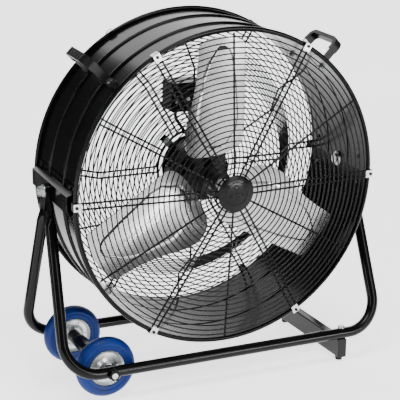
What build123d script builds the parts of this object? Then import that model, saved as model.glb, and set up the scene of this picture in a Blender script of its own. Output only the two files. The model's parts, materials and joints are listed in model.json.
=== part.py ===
"""Industrial drum fan: a rolled-steel barrel with a three-bladed rotor, hung between two bent tube
frames that stand on two wheels at one end and a foot bar at the other.

The origin is on the floor under the middle of the fan. +X points to the foot bar's side, +Y to the
back (the air comes out towards -Y) and +Z up. Every piece on the drum is modelled about the drum's
own axis (local +X right, +Y up, +Z towards the air outlet) and then stood in the drum's place.
"""

import os
from math import atan2, cos, radians, sin, sqrt, tan

from build123d import *

os.makedirs("parts", exist_ok=True)

# Driving dimensions, millimetres and degrees.
DRUM_RIM_R = 330.0  # outside of the rolled rims
DRUM_WALL_R = 322.0  # outside of the barrel wall
DRUM_WALL = 1.4
DRUM_DEPTH = 243.0
DRUM_TILT = 2.4  # the outlet looks this far below level as stored
PIVOT_HEIGHT = 413.0
PIVOT_Y = 0.0  # the pivot stands over the middle of the fan's whole depth
TUBE_R = 11.5
TUBE_WALL = 1.5
RUN_HEIGHT = 62.5  # centre of the two low runs, which is the wheels' axle height too
RUN_SPREAD = 132.0  # from the pivot's plane to each run
CORNER_X = 356.5
LEG_TOP_X = 345.0
CORNER_RADIUS = 70.0
WHEEL_X = -262.0
WHEEL_R = 62.5
WHEEL_WIDTH = 32.0
WHEEL_SPREAD = 98.5
AXLE_R = 6.0
FOOT_X = 266.0
BLADE_COUNT = 3
FIRST_BLADE_ANGLE = 89.0
HANDLE_ANGLES = (44.0, 136.0)
GUARD_R = 322.0
RADIAL_END_R = 318.5
GUARD_RING_WIRE_R = 1.4
GUARD_RADIAL_WIRE_R = 2.0
GUARD_RINGS = 28
WIRE_SIDES = 8  # the rings' wire is drawn eight-sided, which keeps their meshes light
CLIP_ANGLES = tuple(range(0, 360, 60))
RUNNING_GAP = 0.05  # radial clearance of everything that turns
PLAY = 0.2  # clearance between pieces that are bolted together

half_depth = DRUM_DEPTH / 2
drum_place = Plane(
    origin=(0, PIVOT_Y, PIVOT_HEIGHT),
    x_dir=(1, 0, 0),
    z_dir=(0, -cos(radians(DRUM_TILT)), -sin(radians(DRUM_TILT))),
).location


def write(piece, name, place=Location()):
    """Stands one finished piece in its place, labels it and writes its STEP file."""
    placed = place * piece
    placed.label = name
    export_step(placed, f"parts/{name}.step")


def write_on_drum(piece, name):
    write(piece, name, drum_place)


# ---------------------------------------------------------------- stand: the two tube frames
FLAT_THICKNESS = 5.0
FLAT_WIDTH = 30.0
FLAT_LENGTH = 40.0
FRONT_FLAT_X = 341.5  # middle of the front frame's flattened ends
REAR_FLAT_X = FRONT_FLAT_X + FLAT_THICKNESS + 0.3
PIVOT_BOLT_R = 6.0
FOOT_BOLT_R = 3.0
FOOT_BOLT_Y = RUN_SPREAD - 2  # leaves the end caps clear of the rivet nuts
leg_rise = PIVOT_HEIGHT - RUN_HEIGHT
leg_length = sqrt(leg_rise**2 + RUN_SPREAD**2)


def frame_tube(side, flat_x):
    """One U of bent tube with flattened ends; side is -1 for the front frame, +1 for the rear."""
    leaning = Plane(
        origin=(0, PIVOT_Y + side * RUN_SPREAD, RUN_HEIGHT),
        x_dir=(1, 0, 0),
        z_dir=(0, -leg_rise, -side * RUN_SPREAD),
    )
    tube_top = leg_length - FLAT_LENGTH - 32
    with BuildPart() as tube:
        with BuildLine(leaning) as path:
            FilletPolyline(
                (-LEG_TOP_X, tube_top),
                (-CORNER_X, 0),
                (CORNER_X, 0),
                (LEG_TOP_X, tube_top),
                radius=CORNER_RADIUS,
            )
        route = path.wires()[0]
        with BuildSketch(Plane(origin=route @ 0, z_dir=route % 0)):
            Circle(TUBE_R)
            Circle(TUBE_R - TUBE_WALL, mode=Mode.SUBTRACT)
        sweep(path=route)
        for end, tube_end, upward in ((-1, route @ 0, -(route % 0)), (1, route @ 1, route % 1)):
            flat_end = leaning.from_local_coords((end * flat_x, leg_length - FLAT_LENGTH, 0))
            with BuildSketch(Plane(origin=tube_end, x_dir=(1, 0, 0), z_dir=upward)):
                Circle(TUBE_R)
            with BuildSketch(Plane(origin=flat_end, x_dir=(1, 0, 0), z_dir=leaning.y_dir)):
                Rectangle(FLAT_THICKNESS, FLAT_WIDTH)
            loft()
            pivot = leaning.from_local_coords((end * flat_x - FLAT_THICKNESS / 2, leg_length, 0))
            with BuildSketch(Plane(origin=pivot, x_dir=leaning.y_dir, z_dir=(1, 0, 0))):
                Circle(FLAT_WIDTH / 2)
                Rectangle(FLAT_LENGTH, FLAT_WIDTH, align=(Align.MAX, Align.CENTER))
                Circle(PIVOT_BOLT_R + RUNNING_GAP, mode=Mode.SUBTRACT)
            extrude(amount=FLAT_THICKNESS)
        with BuildSketch(Plane.XZ.offset(-PIVOT_Y - side * RUN_SPREAD)):
            with Locations((WHEEL_X, RUN_HEIGHT)):
                Circle(AXLE_R + 0.1)
        extrude(amount=2 * TUBE_R, both=True, mode=Mode.SUBTRACT)
        with BuildSketch(Plane.XY.offset(RUN_HEIGHT)):
            with Locations((FOOT_X, PIVOT_Y + side * FOOT_BOLT_Y)):
                Circle(FOOT_BOLT_R + 0.1)
        extrude(amount=2 * TUBE_R, both=True, mode=Mode.SUBTRACT)
    return tube.part


write(frame_tube(-1, FRONT_FLAT_X), "front_frame_tube")
write(frame_tube(1, REAR_FLAT_X), "rear_frame_tube")

# ---------------------------------------------------------------- stand: foot bar
BAR_WIDTH = 20.0
BAR_BOTTOM = 8.7
BAR_TOP = RUN_HEIGHT - TUBE_R - PLAY
BAR_LENGTH = 2 * RUN_SPREAD + 6
BAR_WALL = 1.5
bar_height = BAR_TOP - BAR_BOTTOM
bar_middle = (BAR_TOP + BAR_BOTTOM) / 2
PAD_R = 8.5
PAD_Y = RUN_SPREAD - 9
PAD_PLUG_R = 4.0
RIVET_NUT_R = 4.6

with BuildPart() as foot_bar:
    with BuildSketch(Plane.XZ.offset(-PIVOT_Y)):
        with Locations((FOOT_X, bar_middle)):
            RectangleRounded(BAR_WIDTH, bar_height, 3)
            RectangleRounded(BAR_WIDTH - 2 * BAR_WALL, bar_height - 2 * BAR_WALL, 1.5, mode=Mode.SUBTRACT)
    extrude(amount=BAR_LENGTH / 2, both=True)
    with BuildSketch(Plane.XY.offset(BAR_TOP)):
        with Locations((FOOT_X, PIVOT_Y - FOOT_BOLT_Y), (FOOT_X, PIVOT_Y + FOOT_BOLT_Y)):
            Circle(FOOT_BOLT_R + 0.1)
    extrude(amount=-10, mode=Mode.SUBTRACT)
    with BuildSketch(Plane.XY.offset(BAR_BOTTOM)):
        with Locations((FOOT_X, PIVOT_Y - PAD_Y), (FOOT_X, PIVOT_Y + PAD_Y)):
            Circle(PAD_PLUG_R + 0.1)
    extrude(amount=5, mode=Mode.SUBTRACT)
write(foot_bar.part, "foot_bar")

with BuildPart() as end_caps:
    for side in (-1, 1):
        face_y = PIVOT_Y + side * (BAR_LENGTH / 2 + PLAY)
        with BuildSketch(Plane(origin=(FOOT_X, face_y, bar_middle), x_dir=(1, 0, 0), z_dir=(0, side, 0))):
            RectangleRounded(BAR_WIDTH, bar_height, 3)
        extrude(amount=3)
    flat_ends = end_caps.faces().filter_by(Axis.Y).sort_by(Axis.Y)
    fillet([flat_ends[0].edges(), flat_ends[-1].edges()], radius=1.6)
write(end_caps.part, "foot_bar_end_caps")

with BuildPart() as foot_pads:
    for side in (-1, 1):
        with BuildSketch(Plane.XY):
            with Locations((FOOT_X, PIVOT_Y + side * PAD_Y)):
                Circle(PAD_R - 1.5)
        with BuildSketch(Plane.XY.offset(BAR_BOTTOM - PLAY)):
            with Locations((FOOT_X, PIVOT_Y + side * PAD_Y)):
                Circle(PAD_R)
        loft()
        with BuildSketch(Plane.XY.offset(BAR_BOTTOM - PLAY)):
            with Locations((FOOT_X, PIVOT_Y + side * PAD_Y)):
                Circle(PAD_PLUG_R)
        extrude(amount=5)
write(foot_pads.part, "foot_pads")

with BuildPart() as foot_bolts:
    for side in (-1, 1):
        spot = (FOOT_X, PIVOT_Y + side * FOOT_BOLT_Y)
        with BuildSketch(Plane.XY.offset(BAR_TOP - 12)):
            with Locations(spot):
                Circle(FOOT_BOLT_R)
        extrude(amount=2 * TUBE_R + 12 + 2 * PLAY)
        with BuildSketch(Plane.XY.offset(RUN_HEIGHT + TUBE_R + PLAY)):
            with Locations(spot):
                Circle(8)
        extrude(amount=4.5, taper=25)
        with BuildSketch(Plane.XY.offset(BAR_TOP - BAR_WALL - PLAY)):
            with Locations(spot):
                Circle(RIVET_NUT_R)
        extrude(amount=-8)
write(foot_bolts.part, "foot_bar_bolts")

# ---------------------------------------------------------------- stand: axle
AXLE_HALF = RUN_SPREAD + TUBE_R + 12
SPACER_R = 15.0
WASHER_R = 12.0
WASHER_GAP = 0.3
hub_half = WHEEL_WIDTH / 2 + 1.0


def along_axle(low, high, radius, bore=0.0):
    """A round piece on the wheels' axle from low to high, measured from the middle of the axle."""
    with BuildPart() as ring:
        with BuildSketch(Plane.XZ.offset(-PIVOT_Y - low)):
            with Locations((WHEEL_X, RUN_HEIGHT)):
                Circle(radius)
                if bore:
                    Circle(bore, mode=Mode.SUBTRACT)
        extrude(amount=low - high)
    return ring.part


write(along_axle(-AXLE_HALF, AXLE_HALF, AXLE_R), "axle_rod")
spacer_half = WHEEL_SPREAD - hub_half - WASHER_GAP
write(along_axle(-spacer_half, spacer_half, SPACER_R, AXLE_R + 0.1), "axle_spacer_tube")

tube_face = RUN_SPREAD - TUBE_R
wheel_face = WHEEL_SPREAD + hub_half + WASHER_GAP
with BuildPart() as axle_washers:
    for side in (-1, 1):
        add(along_axle(side * wheel_face, side * (tube_face - PLAY), WASHER_R, AXLE_R + 0.1))
write(axle_washers.part, "axle_washers")

with BuildPart() as axle_nuts:
    for side in (-1, 1):
        nut_face = PIVOT_Y + side * (RUN_SPREAD + TUBE_R + PLAY)
        nut_plane = Plane(origin=(WHEEL_X, nut_face, RUN_HEIGHT), x_dir=(1, 0, 0), z_dir=(0, side, 0))
        with BuildSketch(nut_plane):
            Circle(WASHER_R)
            Circle(AXLE_R + 0.1, mode=Mode.SUBTRACT)
        extrude(amount=1.8)
        with BuildSketch(nut_plane.offset(1.8)):
            RegularPolygon(9.5, 6, major_radius=False)
            Circle(AXLE_R + 0.1, mode=Mode.SUBTRACT)
        extrude(amount=9)
write(axle_nuts.part, "axle_nuts")

# ---------------------------------------------------------------- wheels
RIM_R = 38.0
BUSH_R = 9.5


def wheel_plane(side):
    """Local z runs along the axle away from the middle of the fan."""
    return Plane(
        origin=(WHEEL_X, PIVOT_Y + side * WHEEL_SPREAD, RUN_HEIGHT), x_dir=(1, 0, 0), z_dir=(0, side, 0)
    )


def tyre():
    half = WHEEL_WIDTH / 2
    with BuildPart() as ring:
        with BuildSketch(Plane.XZ):
            with BuildLine():
                Polyline((RIM_R + PLAY, -half + 3), (WHEEL_R - 9, -half))
                ThreePointArc((WHEEL_R - 9, -half), (WHEEL_R, 0), (WHEEL_R - 9, half))
                Polyline((WHEEL_R - 9, half), (RIM_R + PLAY, half - 3), (RIM_R + PLAY, -half + 3))
            make_face()
        revolve(axis=Axis.Z)
    return ring.part


def rim_halves():
    """Two pressed discs that meet at the wheel's middle; each has a dish and a lip."""
    with BuildPart() as rim:
        for side in (-1, 1):
            with BuildSketch(Plane.XZ):
                with BuildLine() as section:
                    Polyline(
                        (BUSH_R + 1.0, side * 14),
                        (17, side * 14),
                        (23, side * 6),
                        (32, side * 6),
                        (RIM_R - 1.0, side * 12.5),
                    )
                trace(line_width=1.5)
            revolve(axis=Axis.Z)
    return rim.part


def bush():
    with BuildPart() as sleeve:
        with BuildSketch(Plane.XY.offset(-hub_half)):
            Circle(BUSH_R)
            Circle(AXLE_R + RUNNING_GAP, mode=Mode.SUBTRACT)
        extrude(amount=2 * hub_half)
    return sleeve.part


for wheel_name, side in (("front", -1), ("rear", 1)):
    place = wheel_plane(side).location
    write(tyre(), f"{wheel_name}_wheel_tyre", place)
    write(rim_halves(), f"{wheel_name}_wheel_rim", place)
    write(bush(), f"{wheel_name}_wheel_bush", place)

# ---------------------------------------------------------------- drum shell
ROLL_R = 4.5
BEAD_R = 4.0
BEAD_PLACES = (-42.0, 42.0)
wall_middle = DRUM_WALL_R - DRUM_WALL / 2
roll_middle = DRUM_RIM_R - ROLL_R
pivot_hole_r = PIVOT_BOLT_R + 0.1
HANDLE_BOLT_R = 3.0
HANDLE_FOOT_Z = 64.0
CLIP_SCREW_R = 1.5
RIVET_R = 2.0
BRACKET_RIVET_SPOTS = [(y, z) for y in (-27.5, 27.5) for z in (-85.0, 85.0)]

with BuildPart() as drum_shell:
    with BuildSketch(Plane.XZ):
        with BuildLine():
            Line((wall_middle, -half_depth + ROLL_R), (wall_middle, BEAD_PLACES[0] - BEAD_R))
            for bead in BEAD_PLACES:
                ThreePointArc(
                    (wall_middle, bead - BEAD_R), (wall_middle + BEAD_R, bead), (wall_middle, bead + BEAD_R)
                )
            Line((wall_middle, BEAD_PLACES[0] + BEAD_R), (wall_middle, BEAD_PLACES[1] - BEAD_R))
            Line((wall_middle, BEAD_PLACES[1] + BEAD_R), (wall_middle, half_depth - ROLL_R))
        trace(line_width=DRUM_WALL)
        with Locations((roll_middle, half_depth - ROLL_R), (roll_middle, -half_depth + ROLL_R)):
            Circle(ROLL_R)
    revolve(axis=Axis.Z)
    with BuildSketch(Plane.YZ):
        Circle(pivot_hole_r)
    extrude(amount=2 * DRUM_RIM_R, both=True, mode=Mode.SUBTRACT)
    for angle in HANDLE_ANGLES:
        out = (cos(radians(angle)), sin(radians(angle)), 0)
        for foot in (-HANDLE_FOOT_Z, HANDLE_FOOT_Z):
            with BuildSketch(Plane(origin=(0, 0, foot), x_dir=(0, 0, 1), z_dir=out)):
                Circle(HANDLE_BOLT_R + 0.1)
            extrude(amount=2 * DRUM_RIM_R, mode=Mode.SUBTRACT)
    for side in (-1, 1):
        with BuildSketch(Plane.XY.offset(side * half_depth)):
            with PolarLocations(roll_middle, len(CLIP_ANGLES)):
                Circle(CLIP_SCREW_R + 0.1)
        extrude(amount=-side * 7, mode=Mode.SUBTRACT)
    for side in (-1, 1):
        with BuildSketch(Plane.YZ):
            with Locations(*BRACKET_RIVET_SPOTS):
                Circle(RIVET_R + 0.1)
        extrude(amount=side * 2 * DRUM_RIM_R, mode=Mode.SUBTRACT)
write_on_drum(drum_shell.part, "drum_shell")

# ---------------------------------------------------------------- guards
FRONT_DOME = 22.0
FRONT_INNER_R = 30.0
PAIR_SPREAD = 12.0
front_rim_z = half_depth + 3.0
front_steps = GUARD_RINGS - 1
front_slope = atan2(FRONT_DOME, GUARD_R - FRONT_INNER_R)


def front_z(radius):
    """Height of the front guard's shallow cone of rings above the drum's middle."""
    return front_rim_z + (GUARD_R - radius) * tan(front_slope)


REAR_INNER_R = 78.0
REAR_PLATEAU_Z = -63.0
REAR_PLATEAU_R = 210.0
REAR_KINK_R = 266.0
REAR_RIM_Z = -half_depth - 3.0
THICK_WIRE_R = 3.0
rear_profile = (
    (REAR_INNER_R, REAR_PLATEAU_Z),
    (REAR_PLATEAU_R, REAR_PLATEAU_Z),
    (REAR_KINK_R, REAR_RIM_Z),
    (GUARD_R, REAR_RIM_Z),
)


def points_along(profile, count):
    """Evenly spaced points along a bent line, ends included."""
    lengths = [sqrt((b[0] - a[0]) ** 2 + (b[1] - a[1]) ** 2) for a, b in zip(profile, profile[1:])]
    places = []
    for number in range(count):
        run = sum(lengths) * number / (count - 1)
        for (a, b), length in zip(zip(profile, profile[1:]), lengths):
            if run <= length + 1e-6:
                places.append((a[0] + (b[0] - a[0]) * run / length, a[1] + (b[1] - a[1]) * run / length))
                break
            run -= length
    return places


def guard_rings(places, inner_wire_r):
    """Concentric wire rings, the innermost one of its own thickness."""
    with BuildPart() as rings:
        with BuildSketch(Plane.XZ):
            with Locations(*places[1:]):
                RegularPolygon(GUARD_RING_WIRE_R, WIRE_SIDES)
            with Locations(places[0]):
                RegularPolygon(inner_wire_r, WIRE_SIDES)
        revolve(axis=Axis.Z)
    return rings.part


def bent_wire(profile, lift, bend):
    """One radial wire along +X, lift mm off the rings' own line."""
    with BuildPart() as wire:
        with BuildLine(Plane.XZ) as path:
            FilletPolyline(*[(radius, z + lift) for radius, z in profile], radius=bend)
        route = path.wires()[0]
        with BuildSketch(Plane(origin=route @ 0, z_dir=route % 0)):
            Circle(GUARD_RADIAL_WIRE_R)
        sweep(path=route)
    return wire.part


def straight_wire(start, end):
    """One radial wire along +X between two (radius, height) points."""
    run = Vector(end[0] - start[0], 0, end[1] - start[1])
    with BuildPart() as wire:
        with BuildSketch(Plane(origin=(start[0], 0, start[1]), z_dir=run)):
            Circle(GUARD_RADIAL_WIRE_R)
        extrude(amount=run.length)
    return wire.part


def guard_radials(wire):
    """Pairs of wires at the clips and single ones midway between them."""
    with BuildPart() as wires:
        for angle in CLIP_ANGLES:
            for turn, shift in ((angle, PAIR_SPREAD / 2), (angle, -PAIR_SPREAD / 2), (angle + 30, 0)):
                add(Rot(Z=turn) * Pos(Y=shift) * wire)
    return wires.part


wire_lift = GUARD_RING_WIRE_R + GUARD_RADIAL_WIRE_R + PLAY
front_places = [
    (FRONT_INNER_R + (GUARD_R - FRONT_INNER_R) * n / front_steps, 0) for n in range(GUARD_RINGS)
]
front_places = [(radius, front_z(radius)) for radius, _ in front_places]
write_on_drum(guard_rings(front_places, GUARD_RING_WIRE_R), "front_guard_rings")
front_profile = [(radius, front_z(radius) - wire_lift) for radius in (FRONT_INNER_R + 1, RADIAL_END_R)]
write_on_drum(guard_radials(straight_wire(*front_profile)), "front_guard_radials")
write_on_drum(guard_rings(points_along(rear_profile, GUARD_RINGS + 3), THICK_WIRE_R), "rear_guard_rings")
inner_lift = THICK_WIRE_R + GUARD_RADIAL_WIRE_R + PLAY
rear_wire_profile = (*rear_profile[:-1], (RADIAL_END_R, REAR_RIM_Z))
write_on_drum(guard_radials(bent_wire(rear_wire_profile, inner_lift, 14)), "rear_guard_radials")

# ---------------------------------------------------------------- guard clips
CLIP_WIDTH = 15.0
CLIP_SHEET = 1.5
CLIP_INNER_R = 315.0
clip_seat = front_rim_z + GUARD_RING_WIRE_R + PLAY
clip_outer_r = DRUM_RIM_R + PLAY + CLIP_SHEET


def guard_clips():
    """Bent tabs that hold the outer ring against the front roll."""
    with BuildPart() as clip:
        with BuildSketch(Plane.XZ):
            with BuildLine():
                Polyline(
                    (CLIP_INNER_R, clip_seat),
                    (CLIP_INNER_R, clip_seat + CLIP_SHEET),
                    (clip_outer_r, clip_seat + CLIP_SHEET),
                    (clip_outer_r, clip_seat - 14),
                    (clip_outer_r - CLIP_SHEET, clip_seat - 14),
                    (clip_outer_r - CLIP_SHEET, clip_seat),
                    (CLIP_INNER_R, clip_seat),
                )
            make_face()
        extrude(amount=CLIP_WIDTH / 2, both=True)
        with BuildSketch(Plane.XY.offset(clip_seat)):
            with Locations((roll_middle, 0)):
                Circle(CLIP_SCREW_R + 0.1)
        extrude(amount=CLIP_SHEET, mode=Mode.SUBTRACT)
        fillet(clip.edges().filter_by(Axis.Y).sort_by(lambda e: e.center().X + e.center().Z)[-1], radius=1.2)
    with BuildPart() as clips:
        with PolarLocations(0, len(CLIP_ANGLES)):
            add(clip.part)
    return clips.part


def clip_screws():
    with BuildPart() as screws:
        with PolarLocations(roll_middle, len(CLIP_ANGLES)):
            with Locations((0, 0, clip_seat + CLIP_SHEET + 0.1)):
                Cylinder(CLIP_SCREW_R, 9, align=(Align.CENTER, Align.CENTER, Align.MAX))
                Cylinder(3.2, 1.8, align=(Align.CENTER, Align.CENTER, Align.MIN))
    return screws.part


turned_to_back = Rot(X=180)
write_on_drum(guard_clips() + turned_to_back * guard_clips(), "guard_clips")
write_on_drum(clip_screws() + turned_to_back * clip_screws(), "clip_screws")

# ---------------------------------------------------------------- pivots
BRACKET_HALF_LENGTH = 104.0
BRACKET_SHEET = 2.0
BRACKET_WEB_X = 337.6
PIVOT_HEAD_IN = 310.0
WALL_FACE_IN = 319.9

with BuildPart() as bracket:
    with BuildSketch(Plane.XY.offset(-BRACKET_HALF_LENGTH)):
        with BuildLine():
            Polyline(
                (321.5, 35),
                (322.9, 20.5),
                (BRACKET_WEB_X, 16),
                (BRACKET_WEB_X, -16),
                (322.9, -20.5),
                (321.5, -35),
            )
        trace(line_width=BRACKET_SHEET)
    extrude(amount=2 * BRACKET_HALF_LENGTH)
    with BuildSketch(Plane.XZ):
        with Locations(*[(wall_middle, bead) for bead in BEAD_PLACES]):
            Circle(BEAD_R + 1.3)
    revolve(axis=Axis.Z, mode=Mode.SUBTRACT)
    with BuildSketch(Plane.YZ):
        Circle(pivot_hole_r)
        with Locations(*BRACKET_RIVET_SPOTS):
            Circle(RIVET_R + 0.1)
    extrude(amount=2 * DRUM_RIM_R, mode=Mode.SUBTRACT)
write_on_drum(bracket.part + Rot(Z=180) * bracket.part, "pivot_brackets")


def round_bars_along_x(spots, low, high, radius):
    """Round bars along +X between two distances from the drum's axis."""
    with BuildPart() as bars:
        with BuildSketch(Plane.YZ.offset(low)):
            with Locations(*spots):
                Circle(radius)
        extrude(amount=high - low)
    return bars.part


rivets = (
    round_bars_along_x(BRACKET_RIVET_SPOTS, 317.6, 325.0, RIVET_R)
    + round_bars_along_x(BRACKET_RIVET_SPOTS, 317.4, 318.9, 4.0)
    + round_bars_along_x(BRACKET_RIVET_SPOTS, 324.6, 326.1, 4.0)
)
write_on_drum(rivets + Rot(Z=180) * rivets, "bracket_rivets")

FLATS_OUT = REAR_FLAT_X + FLAT_THICKNESS / 2
with BuildPart() as pivot_bolt:
    with BuildSketch(Plane.YZ.offset(PIVOT_HEAD_IN)):
        RegularPolygon(9.5, 6, major_radius=False)
    extrude(amount=7.2)
    with BuildSketch(Plane.YZ.offset(PIVOT_HEAD_IN)):
        Circle(PIVOT_BOLT_R)
    extrude(amount=FLATS_OUT + 14 - PIVOT_HEAD_IN)
with BuildPart() as pivot_washer:
    with BuildSketch(Plane.YZ.offset(317.4)):
        Circle(15.5)
        Circle(pivot_hole_r, mode=Mode.SUBTRACT)
    extrude(amount=WALL_FACE_IN - 317.4)
with BuildPart() as pivot_nut:
    with BuildSketch(Plane.YZ.offset(FLATS_OUT + 0.3)):
        Circle(13)
        Circle(pivot_hole_r, mode=Mode.SUBTRACT)
    extrude(amount=2)
    with BuildSketch(Plane.YZ.offset(FLATS_OUT + 2.3)):
        RegularPolygon(9.5, 6, major_radius=False)
        Circle(pivot_hole_r, mode=Mode.SUBTRACT)
    extrude(amount=9)
for piece, name in (
    (pivot_bolt.part, "pivot_bolts"),
    (pivot_washer.part, "pivot_washers"),
    (pivot_nut.part, "pivot_nuts"),
):
    write_on_drum(piece + Rot(Z=180) * piece, name)

# ---------------------------------------------------------------- carrying handles
STRAP_THICKNESS = 3.0
STRAP_WIDTH = 16.0
STRAP_FOOT_R = DRUM_WALL_R + PLAY + STRAP_THICKNESS / 2
GRIP_R = 386.0
GRIP_WIDTH = 18.5
GRIP_THICKNESS = 9.0
COVER_THICKNESS = 2.0  # the grip runs on over the outside of the strap's legs and feet
GRIP_BEND = 15.0
LEG_FOOT_Z = 54.0
LEG_TOP_Z = 50.0
GRIP_START_R = 362.0


def handle_plane(angle):
    """Local x runs out of the drum, local y along its axis."""
    out = (cos(radians(angle)), sin(radians(angle)), 0)
    return Plane(origin=(0, 0, 0), x_dir=out, z_dir=(sin(radians(angle)), -cos(radians(angle)), 0))


def strap_line(lift=0.0, longer=0.0):
    """The strap's path, moved off its outer face by lift."""
    end = HANDLE_FOOT_Z + 11 + longer
    return FilletPolyline(
        (STRAP_FOOT_R + lift, -end),
        (STRAP_FOOT_R + lift, -LEG_FOOT_Z - lift),
        (GRIP_R + lift, -LEG_TOP_Z - lift),
        (GRIP_R + lift, LEG_TOP_Z + lift),
        (STRAP_FOOT_R + lift, LEG_FOOT_Z + lift),
        (STRAP_FOOT_R + lift, end),
        radius=[4 - lift, GRIP_BEND + lift, GRIP_BEND + lift, 4 - lift],
    )


def handle_strap(angle):
    with BuildPart() as strap:
        with BuildSketch(handle_plane(angle)):
            with BuildLine():
                strap_line()
            trace(line_width=STRAP_THICKNESS)
        extrude(amount=STRAP_WIDTH / 2, both=True)
        out = handle_plane(angle).x_dir
        for foot in (-HANDLE_FOOT_Z, HANDLE_FOOT_Z):
            with BuildSketch(Plane(origin=(0, 0, foot), x_dir=(0, 0, 1), z_dir=out)):
                Circle(HANDLE_BOLT_R + 0.1)
            extrude(amount=STRAP_FOOT_R + 5, mode=Mode.SUBTRACT)
    return strap.part


def handle_grip(angle):
    """A sleeve round the strap's bow that runs on as a cover over its legs and feet."""
    leg_lean = (LEG_FOOT_Z - LEG_TOP_Z) / (GRIP_R - STRAP_FOOT_R)
    start_z = LEG_TOP_Z + (GRIP_R - GRIP_START_R) * leg_lean
    corners = ((GRIP_START_R, -start_z), (GRIP_R, -LEG_TOP_Z), (GRIP_R, LEG_TOP_Z), (GRIP_START_R, start_z))
    cover_depth = COVER_THICKNESS + 0.5  # the strap's channel takes the half millimetre back
    out = handle_plane(angle).x_dir
    with BuildPart() as grip:
        with BuildSketch(handle_plane(angle)):
            with BuildLine():
                FilletPolyline(*corners, radius=GRIP_BEND)
            trace(line_width=GRIP_THICKNESS)
        extrude(amount=GRIP_WIDTH / 2, both=True)
        with BuildSketch(handle_plane(angle)):
            with BuildLine():
                strap_line(STRAP_THICKNESS / 2 + PLAY + COVER_THICKNESS - cover_depth / 2)
            trace(line_width=cover_depth)
        extrude(amount=STRAP_WIDTH / 2, both=True)
        with BuildSketch(handle_plane(angle)):
            with BuildLine():
                strap_line(longer=3)
            trace(line_width=STRAP_THICKNESS + 2 * PLAY)
        extrude(amount=STRAP_WIDTH / 2 + PLAY, both=True, mode=Mode.SUBTRACT)
        for foot in (-HANDLE_FOOT_Z, HANDLE_FOOT_Z):
            with BuildSketch(Plane(origin=(0, 0, foot), x_dir=(0, 0, 1), z_dir=out)):
                Circle(HANDLE_BOLT_R + 0.1)
            extrude(amount=STRAP_FOOT_R + 8, mode=Mode.SUBTRACT)
    return grip.part


def handle_bolts():
    head_seat = STRAP_FOOT_R + STRAP_THICKNESS / 2 + COVER_THICKNESS + 2 * PLAY
    with BuildPart() as bolts:
        for angle in HANDLE_ANGLES:
            out = handle_plane(angle).x_dir
            for foot in (-HANDLE_FOOT_Z, HANDLE_FOOT_Z):
                for low, high, radius in (
                    (STRAP_FOOT_R - 10, head_seat + 2, HANDLE_BOLT_R),
                    (head_seat, head_seat + 3.3, 6.0),
                    (DRUM_WALL_R - DRUM_WALL - 5.5, DRUM_WALL_R - DRUM_WALL - 0.5, 5.5),
                ):
                    start = out * low + Vector(0, 0, foot)
                    with BuildSketch(Plane(origin=start, x_dir=(0, 0, 1), z_dir=out)):
                        Circle(radius)
                    extrude(amount=high - low)
    return bolts.part


for angle, side_name in zip(HANDLE_ANGLES, ("right", "left")):
    write_on_drum(handle_strap(angle), f"{side_name}_handle_strap")
    write_on_drum(handle_grip(angle), f"{side_name}_handle_grip")
write_on_drum(handle_bolts(), "handle_bolts")

# ---------------------------------------------------------------- badge
BADGE_R = 38.0
badge_back = front_z(FRONT_INNER_R) + 2.2 + PLAY
with BuildPart() as badge:
    with BuildSketch(Plane.XZ):
        with BuildLine():
            dome = TangentArc((0, badge_back + 8), (BADGE_R, badge_back + 2), tangent=(1, 0))
            Polyline(
                dome @ 1,
                (BADGE_R, badge_back),
                (24, badge_back),
                (24, badge_back - 6),
                (0, badge_back - 6),
                dome @ 0,
            )
        make_face()
    revolve(axis=Axis.Z)
write_on_drum(badge.part, "guard_badge")

# ---------------------------------------------------------------- motor
MOTOR_R = 62.0
MOTOR_BORE_R = 50.0
MOTOR_REAR = -62.0
MOTOR_FRONT = -18.0
SHAFT_R = 8.0
BEARING_R = 14.0
STATOR_BORE_R = 34.0
COVER_SCREW_R = 2.0
COVER_SCREW_CIRCLE = 56.0
SCREW_TURN = 20.0


def turned(points):
    """A ring or a bell whose half section is given as (radius, height) points."""
    with BuildPart() as piece:
        with BuildSketch(Plane.XZ):
            with BuildLine():
                Polyline(*points, close=True)
            make_face()
        revolve(axis=Axis.Z)
    return piece.part


def drilled(piece, circle_r, radius, count, turn=0.0):
    """A piece with a circle of holes along the drum's axis, right through it."""
    with BuildPart() as result:
        add(piece)
        with BuildSketch(Plane.XY.offset(-2 * half_depth)):
            with PolarLocations(circle_r, count, start_angle=turn):
                Circle(radius)
        extrude(amount=4 * half_depth, mode=Mode.SUBTRACT)
    return result.part


def tube_on_axis(outer, inner, low, high):
    return turned(((inner, low), (outer, low), (outer, high), (inner, high)))


def screws_on_circle(circle_r, radius, head_r, seat, depth, side, turn):
    """Screws along the drum's axis; side is +1 where the heads look to the front."""
    with BuildPart() as screws:
        with BuildSketch(Plane.XY.offset(seat)):
            with PolarLocations(circle_r, 4, start_angle=turn):
                Circle(head_r)
        extrude(amount=side * 2.2)
        with BuildSketch(Plane.XY.offset(seat + side)):
            with PolarLocations(circle_r, 4, start_angle=turn):
                Circle(radius)
        extrude(amount=-side * (depth + 1))
    return screws.part


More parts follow.
